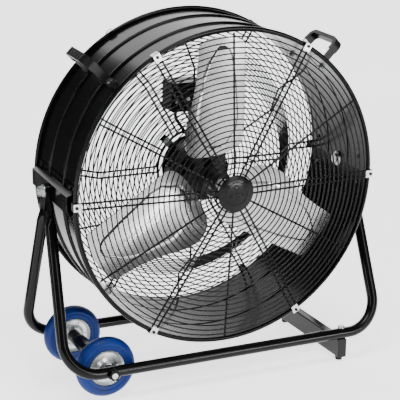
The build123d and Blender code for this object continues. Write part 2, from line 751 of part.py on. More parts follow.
flange = 4.0
rear_bell = turned(
    (
        (0, MOTOR_REAR - 20),
        (42, MOTOR_REAR - 17),
        (46, MOTOR_REAR - flange - PLAY),
        (MOTOR_R, MOTOR_REAR - flange - PLAY),
        (MOTOR_R, MOTOR_REAR - PLAY),
        (44, MOTOR_REAR - PLAY),
        (39, MOTOR_REAR - 13),
        (BEARING_R + 4, MOTOR_REAR - 14),
        (BEARING_R + 4, MOTOR_REAR - 6),
        (BEARING_R + 0.1, MOTOR_REAR - 6),
        (BEARING_R + 0.1, MOTOR_REAR - 17),
        (0, MOTOR_REAR - 17),
    )
)
front_bell = turned(
    (
        (SHAFT_R + 1, MOTOR_FRONT + 18),
        (20, MOTOR_FRONT + 18),
        (42, MOTOR_FRONT + 13),
        (47, MOTOR_FRONT + flange + PLAY),
        (MOTOR_R, MOTOR_FRONT + flange + PLAY),
        (MOTOR_R, MOTOR_FRONT + PLAY),
        (44.5, MOTOR_FRONT + PLAY),
        (39.5, MOTOR_FRONT + 9),
        (BEARING_R + 4, MOTOR_FRONT + 13),
        (BEARING_R + 4, MOTOR_FRONT + 4.5),
        (BEARING_R + 0.1, MOTOR_FRONT + 4.5),
        (BEARING_R + 0.1, MOTOR_FRONT + 15),
        (SHAFT_R + 1, MOTOR_FRONT + 15),
    )
)
housing = tube_on_axis(MOTOR_R, MOTOR_BORE_R, MOTOR_REAR, MOTOR_FRONT)
lead_end = (-6.0, 39.5, MOTOR_REAR - 13)
LEAD_R = 3.4
with BuildPart() as lead_hole:
    with BuildSketch(Plane.XZ.offset(-30)):
        with Locations((lead_end[0], lead_end[2])):
            Circle(LEAD_R + 0.2)
    extrude(amount=-30)
cover_holes = (COVER_SCREW_CIRCLE, COVER_SCREW_R + 0.1, 4, SCREW_TURN)
write_on_drum(drilled(housing, *cover_holes), "motor_housing")
write_on_drum(drilled(rear_bell, *cover_holes) - lead_hole.part, "motor_rear_cover")
write_on_drum(drilled(front_bell, *cover_holes), "motor_front_cover")
stator = tube_on_axis(MOTOR_BORE_R - 0.1, STATOR_BORE_R, MOTOR_REAR + 6, MOTOR_FRONT - 6)
write_on_drum(stator, "motor_stator")
rear_bearing = tube_on_axis(BEARING_R, SHAFT_R + RUNNING_GAP, MOTOR_REAR - 16.5, MOTOR_REAR - 7.5)
front_bearing = tube_on_axis(BEARING_R, SHAFT_R + RUNNING_GAP, MOTOR_FRONT + 5.5, MOTOR_FRONT + 14.5)
write_on_drum(rear_bearing + front_bearing, "motor_bearings")

BRACKET_PLATE = 3.0
ARM_WIDTH = 16.0
ARM_END_R = 92.0
RING_BOLT_CIRCLE = 83.3  # between the thick ring and the next one
RING_BOLT_R = 2.0
plate_front = REAR_PLATEAU_Z - THICK_WIRE_R - PLAY
with BuildPart() as motor_bracket:
    with BuildSketch(Plane.XY.offset(plate_front)):
        Circle(66)
        with PolarLocations(0, 4, start_angle=45):
            Rectangle(ARM_END_R, ARM_WIDTH, align=(Align.MIN, Align.CENTER))
        Circle(47, mode=Mode.SUBTRACT)
        with PolarLocations(RING_BOLT_CIRCLE, 4, start_angle=45):
            Circle(RING_BOLT_R + 0.1, mode=Mode.SUBTRACT)
        with PolarLocations(COVER_SCREW_CIRCLE, 4, start_angle=SCREW_TURN):
            Circle(COVER_SCREW_R + 0.1, mode=Mode.SUBTRACT)
    extrude(amount=-BRACKET_PLATE)
write_on_drum(motor_bracket.part, "motor_bracket")

rear_seat = plate_front - BRACKET_PLATE - 0.1
front_seat = MOTOR_FRONT + PLAY + flange + 0.1
cover_screws = screws_on_circle(
    COVER_SCREW_CIRCLE, COVER_SCREW_R, 4.2, rear_seat, 14, -1, SCREW_TURN
) + screws_on_circle(COVER_SCREW_CIRCLE, COVER_SCREW_R, 4.2, front_seat, 11, 1, SCREW_TURN)
write_on_drum(cover_screws, "motor_cover_screws")

clamp_back = REAR_PLATEAU_Z + THICK_WIRE_R + PLAY
with BuildPart() as ring_clamps:
    with BuildSketch(Plane.XY.offset(clamp_back)):
        with PolarLocations(RING_BOLT_CIRCLE - 1.5, 4, start_angle=45):
            RectangleRounded(18, ARM_WIDTH, 3)
        with PolarLocations(RING_BOLT_CIRCLE, 4, start_angle=45):
            Circle(RING_BOLT_R + 0.1, mode=Mode.SUBTRACT)
    extrude(amount=2)
write_on_drum(ring_clamps.part, "ring_clamps")
clamp_depth = clamp_back + 2.1 - rear_seat + 4
write_on_drum(
    screws_on_circle(RING_BOLT_CIRCLE, RING_BOLT_R, 4.5, clamp_back + 2.1, clamp_depth, 1, 45),
    "ring_clamp_bolts",
)

# ---------------------------------------------------------------- switch box
BOX_WIDTH = 76.0
BOX_HEIGHT = 62.0
BOX_X = -10.0
BOX_Y = 148.0
BOX_WALL = 2.5
BOX_FRONT = REAR_PLATEAU_Z - GUARD_RING_WIRE_R - PLAY
BOX_DEPTH = 46.0
LID_THICKNESS = 3.0
box_rear = BOX_FRONT - BOX_DEPTH
BOX_SCREW_SPOTS = [(BOX_X + x, BOX_Y + y) for x in (-31, 31) for y in (-24, 24)]
KNOB_X = -2.0
LEAD_X = BOX_X - 20
KNOB_R = 14.0
SPINDLE_R = 3.0
CLAMP_SCREW_CIRCLE = 145.8  # midway between two rings
CLAMP_SCREW_ANGLES = (95.0, 105.0)
clamp_spots = [
    (CLAMP_SCREW_CIRCLE * cos(radians(a)), CLAMP_SCREW_CIRCLE * sin(radians(a))) for a in CLAMP_SCREW_ANGLES
]

with BuildPart() as switch_box:
    with BuildSketch(Plane.XY.offset(BOX_FRONT)):
        with Locations((BOX_X, BOX_Y)):
            RectangleRounded(BOX_WIDTH, BOX_HEIGHT, 5)
    extrude(amount=-BOX_DEPTH)
    with BuildSketch(Plane.XY.offset(BOX_FRONT - BOX_WALL)):
        with Locations((BOX_X, BOX_Y)):
            RectangleRounded(BOX_WIDTH - 2 * BOX_WALL, BOX_HEIGHT - 2 * BOX_WALL, 3)
        with Locations(*BOX_SCREW_SPOTS):
            Circle(4, mode=Mode.SUBTRACT)
    extrude(amount=-BOX_DEPTH, mode=Mode.SUBTRACT)
    with BuildSketch(Plane.XY.offset(box_rear)):
        with Locations(*BOX_SCREW_SPOTS):
            Circle(1.6)
    extrude(amount=15, mode=Mode.SUBTRACT)
    with BuildSketch(Plane.XY.offset(BOX_FRONT)):
        with Locations(*clamp_spots):
            Circle(2.1)
    extrude(amount=-BOX_WALL, mode=Mode.SUBTRACT)
    with BuildSketch(Plane.XZ.offset(-BOX_Y)):
        with Locations((BOX_X + 20, box_rear + 20)):
            Circle(8.1)
        with Locations((LEAD_X, box_rear + 27)):
            Circle(LEAD_R + 0.2)
    extrude(amount=BOX_HEIGHT, mode=Mode.SUBTRACT)
write_on_drum(switch_box.part, "switch_box")

lead_start = (LEAD_X, BOX_Y - BOX_HEIGHT / 2 + BOX_WALL, box_rear + 27)
with BuildPart() as motor_lead:
    with BuildLine() as lead_path:
        FilletPolyline(
            lead_start,
            (lead_start[0], 100, lead_start[2]),
            (lead_end[0], 62, lead_end[2]),
            lead_end,
            radius=[18, 18],
        )
    with BuildSketch(Plane(origin=lead_path.line @ 0, z_dir=lead_path.line % 0)):
        Circle(LEAD_R)
    sweep(path=lead_path.line)
write_on_drum(motor_lead.part, "motor_lead")

with BuildPart() as box_lid:
    with BuildSketch(Plane.XY.offset(box_rear - PLAY)):
        with Locations((BOX_X, BOX_Y)):
            RectangleRounded(BOX_WIDTH, BOX_HEIGHT, 5)
        with Locations(*BOX_SCREW_SPOTS):
            Circle(1.6, mode=Mode.SUBTRACT)
        with Locations((KNOB_X, BOX_Y)):
            Circle(SPINDLE_R + RUNNING_GAP, mode=Mode.SUBTRACT)
    extrude(amount=-LID_THICKNESS)
write_on_drum(box_lid.part, "switch_box_lid")

lid_face = box_rear - PLAY - LID_THICKNESS
with BuildPart() as lid_screws:
    with BuildSketch(Plane.XY.offset(lid_face - 0.1)):
        with Locations(*BOX_SCREW_SPOTS):
            Circle(3.2)
    extrude(amount=-1.8)
    with BuildSketch(Plane.XY.offset(lid_face - 1)):
        with Locations(*BOX_SCREW_SPOTS):
            Circle(1.5)
    extrude(amount=15)

with BuildPart() as speed_switch:
    with BuildSketch(Plane.XY.offset(box_rear + PLAY)):
        with Locations((KNOB_X, BOX_Y)):
            RectangleRounded(30, 30, 4)
            Circle(SPINDLE_R + RUNNING_GAP, mode=Mode.SUBTRACT)
    extrude(amount=22)
write_on_drum(speed_switch.part, "speed_switch")

with BuildPart() as capacitor:
    with BuildSketch(Plane.XY.offset(box_rear + 4)):
        with Locations((BOX_X - 22, BOX_Y)):
            Circle(9)
    extrude(amount=28)
write_on_drum(capacitor.part, "capacitor")

with BuildPart() as switch_knob:
    with BuildSketch(Plane.XY.offset(lid_face - 0.5)):
        with Locations((KNOB_X, BOX_Y)):
            Circle(KNOB_R)
    extrude(amount=-8, taper=4)
    with BuildSketch(Plane.XY.offset(lid_face - 8)):
        with Locations((KNOB_X, BOX_Y)):
            RectangleRounded(7, 2 * KNOB_R - 4, 3)
    extrude(amount=-8)
    with BuildSketch(Plane.XY.offset(lid_face - 1)):
        with Locations((KNOB_X, BOX_Y)):
            Circle(SPINDLE_R)
    extrude(amount=14)
write_on_drum(switch_knob.part, "switch_knob")

with BuildPart() as cable_gland:
    gland_plane = Plane(
        origin=(BOX_X + 20, BOX_Y - BOX_HEIGHT / 2 - 0.1, box_rear + 20), x_dir=(1, 0, 0), z_dir=(0, -1, 0)
    )
    with BuildSketch(gland_plane.offset(-BOX_WALL - 4)):
        Circle(8)
    extrude(amount=BOX_WALL + 5)
    with BuildSketch(gland_plane):
        RegularPolygon(10.5, 6, major_radius=False)
    extrude(amount=6)
    with BuildSketch(gland_plane.offset(6)):
        Circle(9)
    extrude(amount=9, taper=8)
    with BuildSketch(gland_plane.offset(-BOX_WALL - 4)):
        Circle(4)
    extrude(amount=40, mode=Mode.SUBTRACT)
write_on_drum(cable_gland.part, "cable_gland")

plate_back = REAR_PLATEAU_Z + GUARD_RING_WIRE_R + PLAY
with BuildPart() as box_clamp:
    with BuildSketch(Plane.XY.offset(plate_back)):
        with Locations((CLAMP_SCREW_CIRCLE * cos(radians(100)), CLAMP_SCREW_CIRCLE * sin(radians(100)))):
            RectangleRounded(40, 34, 4)
        with Locations(*clamp_spots):
            Circle(2.1, mode=Mode.SUBTRACT)
    extrude(amount=2)
write_on_drum(box_clamp.part, "switch_box_clamp")
with BuildPart() as clamp_screws:
    with BuildSketch(Plane.XY.offset(plate_back + 2.1)):
        with Locations(*clamp_spots):
            Circle(4)
    extrude(amount=2)
    with BuildSketch(Plane.XY.offset(plate_back + 3)):
        with Locations(*clamp_spots):
            Circle(2)
    extrude(amount=-14)
write_on_drum(lid_screws.part + clamp_screws.part, "box_screws")

# ---------------------------------------------------------------- rotor
BLADE_SHEET = 1.8
BLADE_HOLLOW = 0.0024  # how fast the blade's face curves, per millimetre
TRAILING_EDGE = -72.0
LEADING_EDGE = 64.0
ARM_SHEET = 3.0
ARM_OFFSET = 22.0
ARM_WIDE = 24.0
ARM_TIP_R = 106.0
HUB_R = 21.0
HUB_BACK = 14.0
HUB_FRONT = 78.0


def face_height(x, radius):
    """Height of the blade's face; x is measured across the blade, towards the leading edge."""
    share = (radius - 50) / 250
    middle = 48 + 28 * share - 17.5 * share**2
    pitch = -0.29 + 0.07 * share
    return middle + pitch * x + BLADE_HOLLOW * (x - TRAILING_EDGE) * (x - LEADING_EDGE)


def face_slope(x, radius):
    return -0.29 + 0.07 * (radius - 50) / 250 + BLADE_HOLLOW * (2 * x - TRAILING_EDGE - LEADING_EDGE)


def blade_sheet(lift, thickness):
    """A hollowed, slightly twisted sheet that runs out along +Y."""
    sections = []
    for radius in (-15.0, 90.0, 195.0, 310.0):
        low = [(x, face_height(x, radius) + lift) for x in (-95, -5, 85)]
        high = [(x, z + thickness) for x, z in low]
        with BuildSketch(Plane(origin=(0, radius, 0), x_dir=(1, 0, 0), z_dir=(0, -1, 0))) as section:
            with BuildLine():
                ThreePointArc(*low)
                Line(low[2], high[2])
                ThreePointArc(high[2], high[1], high[0])
                Line(high[0], low[0])
            make_face()
        sections.append(section.sketch)
    with BuildPart() as sheet:
        loft(sections=sections)
    return sheet.part


def cut_to_outline(sheet, outline):
    with BuildPart() as piece:
        add(sheet)
        with BuildSketch(Plane.XY.offset(-60)):
            add(outline)
        extrude(amount=240, mode=Mode.INTERSECT)
    return piece.part


def rivet_plane(x, radius):
    return Plane(origin=(x, radius, face_height(x, radius)), x_dir=(0, 1, 0), z_dir=(-face_slope(x, radius), 0, 1))


with BuildSketch() as blade_outline:
    with BuildLine():
        ThreePointArc((-52, 286), (3, 296), (58, 284))
        Line((58, 284), (69, 88))
        Spline(
            (69, 88),
            (61, 64),
            (24, 49),
            (-30, 48),
            (-68, 62),
            (-82, 100),
            (-73, 150),
            (-60, 200),
            (-54, 250),
            (-52, 286),
        )
    make_face()
    fillet(blade_outline.vertices().group_by(Axis.Y)[-2:], radius=12)
with BuildSketch() as arm_outline:
    with Locations((ARM_OFFSET, 0)):
        Rectangle(ARM_WIDE, ARM_TIP_R, align=(Align.CENTER, Align.MIN))
    fillet(arm_outline.vertices().group_by(Axis.Y)[-1], radius=8)

RIVET_SPOTS = ((ARM_OFFSET, 66), (ARM_OFFSET - 6, 94), (ARM_OFFSET + 6, 94))
BLADE_RIVET_R = 2.5
blade = cut_to_outline(blade_sheet(0, BLADE_SHEET), blade_outline.sketch)
arm = cut_to_outline(blade_sheet(-ARM_SHEET - PLAY, ARM_SHEET), arm_outline.sketch)


def riveted(piece):
    with BuildPart() as result:
        add(piece)
        for x, radius in RIVET_SPOTS:
            with BuildSketch(rivet_plane(x, radius).offset(-10)):
                Circle(BLADE_RIVET_R + 0.1)
            extrude(amount=20, mode=Mode.SUBTRACT)
    return result.part


blade = riveted(blade)
arm = riveted(arm)
with BuildPart() as rivet_set:
    for x, radius in RIVET_SPOTS:
        base = rivet_plane(x, radius)
        for low, high, size in ((-5.6, -3.9, 4.5), (-5.6, 4.6, BLADE_RIVET_R), (2.8, 4.6, 4.5)):
            with BuildSketch(base.offset(low)):
                Circle(size)
            extrude(amount=high - low)

blade_turns = [FIRST_BLADE_ANGLE - 90 + 360 / BLADE_COUNT * n for n in range(BLADE_COUNT)]
with BuildPart() as hub:
    with BuildSketch(Plane.XY.offset(HUB_BACK)):
        Circle(HUB_R)
    extrude(amount=HUB_FRONT - HUB_BACK)
    for turn in blade_turns:
        add(Rot(Z=turn) * arm)
    with BuildSketch(Plane.XY.offset(HUB_BACK - 20)):
        Circle(SHAFT_R + 0.02)
    extrude(amount=HUB_FRONT - HUB_BACK + 40, mode=Mode.SUBTRACT)
write_on_drum(hub.part, "fan_hub")
for number, turn in enumerate(blade_turns, start=1):
    write_on_drum(Rot(Z=turn) * blade, f"fan_blade_{number}")
blade_rivets = Part() + [Rot(Z=turn) * rivet_set.part for turn in blade_turns]
write_on_drum(blade_rivets, "blade_rivets")

SHAFT_BACK = MOTOR_REAR - 16
SHAFT_FRONT = HUB_FRONT + 10
with BuildPart() as shaft:
    with BuildSketch(Plane.XY.offset(SHAFT_BACK)):
        Circle(SHAFT_R)
    extrude(amount=SHAFT_FRONT - SHAFT_BACK)
    chamfer(shaft.edges().filter_by(GeomType.CIRCLE), length=1)
write_on_drum(shaft.part, "motor_shaft")
core = tube_on_axis(STATOR_BORE_R - 0.5, SHAFT_R + 0.02, MOTOR_REAR + 6, MOTOR_FRONT - 6)
write_on_drum(core, "motor_rotor_core")
with BuildPart() as hub_nut:
    with BuildSketch(Plane.XY.offset(HUB_FRONT + PLAY)):
        RegularPolygon(12, 6, major_radius=False)
        Circle(SHAFT_R + 0.02, mode=Mode.SUBTRACT)
    extrude(amount=8)
write_on_drum(hub_nut.part, "hub_nut")
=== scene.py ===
# %% [markdown]
# # A drum fan, dressed for the studio
# The solids of the fan come in ready placed. This lesson sets up a camera, a pale studio and soft light, gives
# every solid a finish that suits it, and then models the small pressed, riveted and moulded details.
# Everything is in metres: x points to the foot bar, the air comes out towards -y, and z is up.

# %% Load the fan
import json
from math import atan2, cos, degrees, radians, sin

import bpy
from mathutils import Euler, Matrix, Vector


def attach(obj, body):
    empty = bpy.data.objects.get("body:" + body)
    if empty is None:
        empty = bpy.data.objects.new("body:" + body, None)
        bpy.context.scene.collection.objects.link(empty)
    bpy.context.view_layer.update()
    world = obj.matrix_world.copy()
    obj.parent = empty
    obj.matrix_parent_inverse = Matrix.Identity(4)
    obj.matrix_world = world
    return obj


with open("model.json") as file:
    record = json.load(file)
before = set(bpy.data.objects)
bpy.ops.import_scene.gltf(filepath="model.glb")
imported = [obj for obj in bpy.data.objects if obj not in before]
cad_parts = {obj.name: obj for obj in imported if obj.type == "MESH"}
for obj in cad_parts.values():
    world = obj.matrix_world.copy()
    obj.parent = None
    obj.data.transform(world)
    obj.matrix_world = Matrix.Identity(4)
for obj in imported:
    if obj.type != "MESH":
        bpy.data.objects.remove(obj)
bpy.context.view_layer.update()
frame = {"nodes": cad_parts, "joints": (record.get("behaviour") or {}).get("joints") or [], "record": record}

# %% [markdown]
# ## The drum's own directions
# The barrel leans a little, so its details are easiest to place in its own directions: x to the right, y up
# the barrel's face and z out of the air outlet. The spin joint of the rotor says where that axis is, and a
# matrix made from it carries points from the drum to the room.

# %% The drum's place
spin = next(joint for joint in frame["joints"] if joint["name"] == "fan_spin")
drum_middle = Vector(spin["pos_m"])
outlet = Vector(spin["axis"]).normalized()
lean = atan2(-outlet.z, -outlet.y)
drum_place = Matrix.Translation(drum_middle) @ Euler((radians(90) + lean, 0, 0)).to_matrix().to_4x4()
print("the drum leans", round(degrees(lean), 2), "degrees")

# %% [markdown]
# ## Camera
# A long lens from a little above, to the left of the outlet, keeps the circles of the guards calm. The camera
# is placed on a sphere round the drum's pivot by its azimuth and elevation, then slid sideways and down so that
# the stand sits in the frame too.

# %% Camera
AZIMUTH = -0.43138
ELEVATION = 0.27674
ROLL = 0.00547
DISTANCE = 2.8912
SLIDE_RIGHT = 0.00814
SLIDE_UP = 0.0563

back = Vector((sin(AZIMUTH) * cos(ELEVATION), -cos(AZIMUTH) * cos(ELEVATION), sin(ELEVATION)))
level_right = Vector((cos(AZIMUTH), sin(AZIMUTH), 0))
level_up = back.cross(level_right)
right = cos(ROLL) * level_right + sin(ROLL) * level_up
up = cos(ROLL) * level_up - sin(ROLL) * level_right
camera_data = bpy.data.cameras.new("studio_camera")
camera_data.sensor_width = 36
camera_data.lens = 125.15
camera = bpy.data.objects.new("studio_camera", camera_data)
bpy.context.scene.collection.objects.link(camera)
turn = Matrix((right, up, back)).transposed().to_4x4()
camera.matrix_world = Matrix.Translation(drum_middle + DISTANCE * back - SLIDE_RIGHT * right - SLIDE_UP * up) @ turn
bpy.context.scene.camera = camera
print("camera at", [round(v, 3) for v in camera.location])

# %% [markdown]
# ## Studio
# A pale sheet that runs along the floor and rises behind the fan is the usual product backdrop. It is a plane
# whose back edge is pulled up, with the fold between rounded by a bevel. It glows a little, so that the fan
# stands out dark against it. Gloss black shows whatever it faces: the room is nearly dark, two soft boxes and
# two strips draw the highlights, and a black flag beside the barrel keeps the glowing sheet out of its side.
# The flag suits this lesson's camera only: from behind on the left it hides the fan, so it has to go there.


# %% Floor and backdrop
def nothing_selected():
    for each in bpy.context.selected_objects:
        each.select_set(False)


FLOOR_WIDTH, FLOOR_DEPTH = 14, 9
BACKDROP_HEIGHT = 6
FOLD_WIDTH = 2.0
SHEET_GLOW = 2.0
ROOM_LIGHT = 0.05

nothing_selected()
bpy.ops.mesh.primitive_plane_add(size=1, location=(0, 0, 0))
floor = bpy.context.object
floor.name = "studio_floor"
bpy.ops.object.mode_set(mode="EDIT")
bpy.ops.transform.resize(value=(FLOOR_WIDTH, FLOOR_DEPTH, 1))
bpy.ops.mesh.select_mode(type="EDGE")
bpy.ops.mesh.select_all(action="DESELECT")
bpy.ops.object.mode_set(mode="OBJECT")
for edge in floor.data.edges:
    edge.select = all(floor.data.vertices[i].co.y > 0.4 * FLOOR_DEPTH for i in edge.vertices)
bpy.ops.object.mode_set(mode="EDIT")
bpy.ops.mesh.extrude_region_move(TRANSFORM_OT_translate={"value": (0, 0, BACKDROP_HEIGHT)})
bpy.ops.object.mode_set(mode="OBJECT")
fold = floor.modifiers.new("fold", "BEVEL")
fold.width = FOLD_WIDTH
fold.segments = 24
bpy.ops.object.modifier_apply(modifier="fold")
bpy.ops.object.shade_smooth()
paper = bpy.data.materials.new("studio_paper")
paper.use_nodes = True
paper_shader = paper.node_tree.nodes["Principled BSDF"]
paper_shader.inputs["Base Color"].default_value = (0.93, 0.93, 0.93, 1)
paper_shader.inputs["Roughness"].default_value = 0.9
paper_shader.inputs["Emission Color"].default_value = (1, 1, 1, 1)
paper_shader.inputs["Emission Strength"].default_value = SHEET_GLOW
floor.data.materials.append(paper)
print("backdrop", FLOOR_WIDTH, "by", FLOOR_DEPTH, "metres")

# %% Room and lights
world = bpy.data.worlds.new("dim_room")
world.use_nodes = True
world.node_tree.nodes["Background"].inputs["Color"].default_value = (1, 1, 1, 1)
world.node_tree.nodes["Background"].inputs["Strength"].default_value = ROOM_LIGHT
bpy.context.scene.world = world


def soft_light(name, place, aim, size, watts):
    data = bpy.data.lights.new(name, "AREA")
    data.shape = "RECTANGLE"
    data.size, data.size_y = size
    data.energy = watts
    lamp = bpy.data.objects.new(name, data)
    lamp.location = place
    lamp.rotation_euler = (Vector(aim) - Vector(place)).to_track_quat("-Z", "Y").to_euler()
    bpy.context.scene.collection.objects.link(lamp)


soft_light("overhead_box", (-0.3, -0.7, 2.6), (0, 0, 0.4), (1.4, 0.9), 50)
soft_light("front_box", (1.0, -3.0, 1.5), (0, 0, 0.45), (0.9, 1.4), 30)
soft_light("left_strip", (-2.4, -0.9, 1.0), (0, 0, 0.4), (0.3, 1.8), 26)
soft_light("low_strip", (1.35, -3.2, 0.38), (0, 0, 0.2), (1.6, 0.26), 60)

# %% Black flag
nothing_selected()
bpy.ops.mesh.primitive_cube_add(size=1, location=(-0.62, 1.8, 1.25), scale=(0.02, 3.3, 2.5))
flag = bpy.context.object
flag.name = "black_flag"
bpy.ops.object.transform_apply(location=True, rotation=True, scale=True)
felt = bpy.data.materials.new("flag_felt")
felt.use_nodes = True
felt.node_tree.nodes["Principled BSDF"].inputs["Base Color"].default_value = (0.004, 0.004, 0.004, 1)
felt.node_tree.nodes["Principled BSDF"].inputs["Roughness"].default_value = 1.0
flag.data.materials.append(felt)
print("studio ready with", len(bpy.data.lights), "lights")

# %% [markdown]
# ## Effects shared by the finishes
# Paint, plastic, rubber and metal all have small unevenness. Each effect is built once as a node group with
# named numbers, and each material then asks for its own amounts. The groups read the object's own coordinates,
# so a pattern stays put when a piece moves.


# %% Helpers for node trees
def link(tree, value, socket):
    """Feeds a socket from another socket, or sets its number."""
    if isinstance(value, bpy.types.NodeSocket):
        tree.links.new(value, socket)
    else:
        socket.default_value = value


def calc(tree, operation, a, b=0.0, clamp=False):
    node = tree.nodes.new("ShaderNodeMath")
    node.operation = operation
    node.use_clamp = clamp
    link(tree, a, node.inputs[0])
    link(tree, b, node.inputs[1])
    return node.outputs[0]


def noise(tree, vector, scale, detail=3.0):
    node = tree.nodes.new("ShaderNodeTexNoise")
    link(tree, vector, node.inputs["Vector"])
    link(tree, scale, node.inputs["Scale"])
    node.inputs["Detail"].default_value = detail
    return node.outputs["Fac"]


def spread(tree, value, low, high):
    """Stretches a value so that low becomes 0 and high becomes 1."""
    node = tree.nodes.new("ShaderNodeMapRange")
    link(tree, value, node.inputs["Value"])
    link(tree, low, node.inputs["From Min"])
    link(tree, high, node.inputs["From Max"])
    return node.outputs["Result"]


def stretched(tree, vector, scale):
    node = tree.nodes.new("ShaderNodeMapping")
    link(tree, vector, node.inputs["Vector"])
    node.inputs["Scale"].default_value = scale
    return node.outputs["Vector"]


def effect_group(name, numbers, results):
    """A node group with number inputs and outputs, and the object's own coordinates."""
    group = bpy.data.node_groups.new(name, "ShaderNodeTree")
    for label, default in numbers.items():
        group.interface.new_socket(label, in_out="INPUT", socket_type="NodeSocketFloat").default_value = default
    for label in results:
        group.interface.new_socket(label, in_out="OUTPUT", socket_type="NodeSocketFloat")
    given = group.nodes.new("NodeGroupInput").outputs
    result = group.nodes.new("NodeGroupOutput").inputs
    place = group.nodes.new("ShaderNodeTexCoord").outputs["Object"]
    return group, given, result, place


# %% Unevenness: broad blotches and a fine skin
uneven, given, result, place = effect_group(
    "uneven_skin", {"Blotch Scale": 9.0, "Skin Scale": 400.0}, ("Blotch", "Skin")
)
blotch = spread(uneven, noise(uneven, place, given["Blotch Scale"], 4), 0.32, 0.68)
link(uneven, blotch, result["Blotch"])
link(uneven, noise(uneven, place, given["Skin Scale"], 2), result["Skin"])
print("uneven skin:", len(uneven.nodes), "nodes")

# %% Dust that settles on what faces up
settled, given, result, place = effect_group("settled_dust", {"Amount": 0.3}, ("Mask",))
facing = settled.nodes.new("ShaderNodeNewGeometry").outputs["Normal"]
upward = settled.nodes.new("ShaderNodeSeparateXYZ")
link(settled, facing, upward.inputs[0])
level = spread(settled, upward.outputs["Z"], 0.2, 1.0)
patches = spread(settled, noise(settled, place, 38.0, 5), 0.35, 0.75)
specks = spread(settled, noise(settled, place, 900.0, 1), 0.55, 0.7)
cover = calc(settled, "ADD", calc(settled, "MULTIPLY", patches, 0.6), calc(settled, "MULTIPLY", specks, 0.4))
lying = calc(settled, "MULTIPLY", level, cover)
link(settled, calc(settled, "MULTIPLY", lying, given["Amount"], True), result["Mask"])
print("settled dust:", len(settled.nodes), "nodes")

# %% Rubs and fine scratches
rubbed, given, result, place = effect_group("fine_scratches", {"Amount": 0.3}, ("Mask",))
one_way = noise(rubbed, stretched(rubbed, place, (30, 900, 60)), 1.0, 2)
other_way = noise(rubbed, stretched(rubbed, place, (800, 50, 40)), 1.0, 2)
lines = calc(rubbed, "MAXIMUM", spread(rubbed, one_way, 0.68, 0.74), spread(rubbed, other_way, 0.69, 0.75))
where = spread(rubbed, noise(rubbed, place, 14.0, 3), 0.45, 0.7)
scratches = calc(rubbed, "MULTIPLY", lines, where)
link(rubbed, calc(rubbed, "MULTIPLY", scratches, given["Amount"], True), result["Mask"])
print("effects:", [group.name for group in bpy.data.node_groups])

# %% [markdown]
# ## One recipe for the finishes
# A finish is a colour that wanders a little towards a second one, a roughness that wanders with it, a skin that
# bumps the surface, and small amounts of dust and scratches. What stays the same all over a piece is set on
# the shader itself.


# %% The recipe
MM = 0.001
finishes = {}


def blend_colours(tree, share, first, second):
    node = tree.nodes.new("ShaderNodeMix")
    node.data_type = "RGBA"
    link(tree, share, node.inputs["Factor"])
    for colour, socket in ((first, node.inputs[6]), (second, node.inputs[7])):
        link(tree, colour if isinstance(colour, bpy.types.NodeSocket) else (*colour, 1), socket)
    return node.outputs[2]


def placed_group(tree, group, **numbers):
    node = tree.nodes.new("ShaderNodeGroup")
    node.node_tree = group
    for label, value in numbers.items():
        node.inputs[label.replace("_", " ")].default_value = value
    return node.outputs


def finish_for(slot, colour, second, rough, swing, metal=0.0, skin=400.0, bump=0.02, blotch=9.0, dust=0.1,
               scratch=0.1, dust_colour=(0.45, 0.43, 0.4), scratch_colour=(0.3, 0.3, 0.3), shine=0.5):
    material = bpy.data.materials.new(slot)
    material.use_nodes = True
    tree = material.node_tree
    shader = tree.nodes["Principled BSDF"]
    uneven_out = placed_group(tree, uneven, Blotch_Scale=blotch, Skin_Scale=skin)
    dust_mask = placed_group(tree, settled, Amount=dust)["Mask"]
    scratch_mask = placed_group(tree, rubbed, Amount=scratch)["Mask"]
    base = blend_colours(tree, uneven_out["Blotch"], colour, second)
    base = blend_colours(tree, scratch_mask, base, scratch_colour)
    link(tree, blend_colours(tree, dust_mask, base, dust_colour), shader.inputs["Base Color"])
    wander = calc(tree, "MULTIPLY_ADD", uneven_out["Blotch"], swing)
    wander.node.inputs[2].default_value = rough
    marks = calc(tree, "ADD", calc(tree, "MULTIPLY", dust_mask, 0.5), calc(tree, "MULTIPLY", scratch_mask, 0.25))
    link(tree, calc(tree, "ADD", wander, marks, True), shader.inputs["Roughness"])
    shader.inputs["Metallic"].default_value = metal
    shader.inputs["Specular IOR Level"].default_value = shine
    relief = tree.nodes.new("ShaderNodeBump")
    relief.inputs["Strength"].default_value = 1.0
    relief.inputs["Distance"].default_value = bump * MM
    link(tree, calc(tree, "SUBTRACT", uneven_out["Skin"], scratch_mask), relief.inputs["Height"])
    link(tree, relief.outputs["Normal"], shader.inputs["Normal"])
    finishes[slot] = material


# %% [markdown]
# ## Paint
# The barrel and the tubes wear a thick gloss powder coat: almost black, with the faint orange-peel skin that
# powder leaves. The guards are dipped thinner, and the motor and the hub are a duller black.

# %% Painted pieces
finish_for("black_paint", (0.0015, 0.0015, 0.0016), (0.003, 0.003, 0.0032), 0.14, 0.06, skin=260, bump=0.005,
           dust=0.008, scratch=0.02, shine=0.14)
finish_for("guard_paint", (0.001, 0.001, 0.001), (0.002, 0.002, 0.002), 0.24, 0.1, skin=700, bump=0.015,
           dust=0.005, scratch=0.02, shine=0.15)
finish_for("motor_paint", (0.002, 0.002, 0.002), (0.004, 0.004, 0.004), 0.38, 0.12, skin=600, bump=0.05,
           dust=0.02, scratch=0.02, shine=0.2)
finish_for("hub_paint", (0.004, 0.004, 0.004), (0.008, 0.008, 0.008), 0.4, 0.1, skin=500, bump=0.04,
           dust=0.02, scratch=0.02, shine=0.25)

# %% [markdown]
# ## Bare metal
# The blades are rolled aluminium sheet, pale and a little satin. Clips, screws, nuts and the wheels' discs are
# zinc plated, which is greyer and blotchier.

